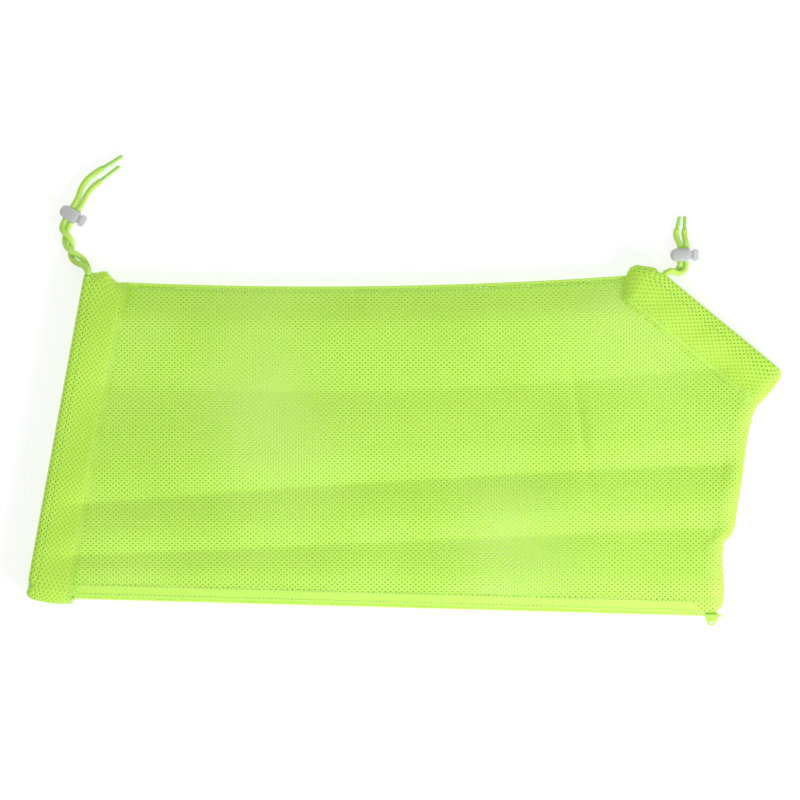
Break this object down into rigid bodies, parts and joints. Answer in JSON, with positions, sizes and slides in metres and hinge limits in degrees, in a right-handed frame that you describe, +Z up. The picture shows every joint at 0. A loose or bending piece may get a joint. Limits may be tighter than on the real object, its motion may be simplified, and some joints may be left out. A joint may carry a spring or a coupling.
{
  "type": "mesh drawstring bag",
  "caption": "Flat-lying lime mesh bag with a drawcord casing and spring cord lock at each mouth and a zip along its lower edge.",
  "frame": {"origin": "middle of the bag's footprint, on the surface it lies on, without the free cord ends and locks", "axes": "+X along the bag towards the slanted mouth, +Y towards the side where the cords leave, +Z up out of the front panel"},
  "size_m": [0.525, 0.3297, 0.017],
  "materials": {
    "mesh": "knitted polyester mesh",
    "hem_mesh": "knitted polyester mesh, two layers",
    "tape": "woven tape",
    "cord": "braided polyester",
    "frosted": "translucent frosted",
    "lime_plastic": "moulded",
    "steel": "bright wire"
  },
  "bodies": {
    "bag": {"front_panel": "mesh", "back_panel": "mesh", "side_binding": "tape", "left_casing": "hem_mesh", "left_drawcord": "cord", "right_casing": "hem_mesh", "right_drawcord": "cord", "zip_tape_front": "tape", "zip_coil_front": "lime_plastic", "zip_tape_back": "tape", "zip_coil_back": "lime_plastic", "zip_stop_closed_end": "steel", "zip_stop_open_end": "steel", "left_cord_end_a": "cord", "left_tip_a": "lime_plastic", "left_cord_end_b": "cord", "left_tip_b": "lime_plastic", "right_cord_end_a": "cord", "right_tip_a": "lime_plastic", "right_cord_end_b": "cord", "right_tip_b": "lime_plastic"},
    "zip_slider": {"zip_slider": "lime_plastic", "zip_pull_pin": "steel"},
    "zip_pull": {"zip_pull": "lime_plastic"},
    "left_lock": {"left_lock_body": "frosted", "left_lock_spring": "steel"},
    "left_button": {"left_lock_button": "frosted"},
    "right_lock": {"right_lock_body": "frosted", "right_lock_spring": "steel"},
    "right_button": {"right_lock_button": "frosted"}
  },
  "joints": [
    {"name": "zip_travel", "type": "slide", "parent": "bag", "child": "zip_slider", "axis": [-0.9996, 0.027, 0], "range_m": [0, 0.434]},
    {"name": "zip_pull_swing", "type": "hinge", "parent": "zip_slider", "child": "zip_pull", "pos_m": [0.21537, -0.12261, 0.0085], "axis": [0.9996, -0.027, 0], "range_deg": [-75, 75]},
    {"name": "left_lock_along_cord", "type": "slide", "parent": "bag", "child": "left_lock", "axis": [0.5, 0.866, 0], "range_m": [-0.003, 0.003]},
    {"name": "left_button_press", "type": "slide", "parent": "left_lock", "child": "left_button", "axis": [-0.866, 0.5, 0], "range_m": [0, 0.0015], "stiffness_N_per_m": 1500, "springref_m": -0.002, "deforming": ["left_lock_spring"]},
    {"name": "right_lock_along_cord", "type": "slide", "parent": "bag", "child": "right_lock", "axis": [0, 1, 0], "range_m": [-0.0015, 0.0015]},
    {"name": "right_button_press", "type": "slide", "parent": "right_lock", "child": "right_button", "axis": [-1, 0, 0], "range_m": [0, 0.0015], "stiffness_N_per_m": 1500, "springref_m": -0.002, "deforming": ["right_lock_spring"]}
  ]
}
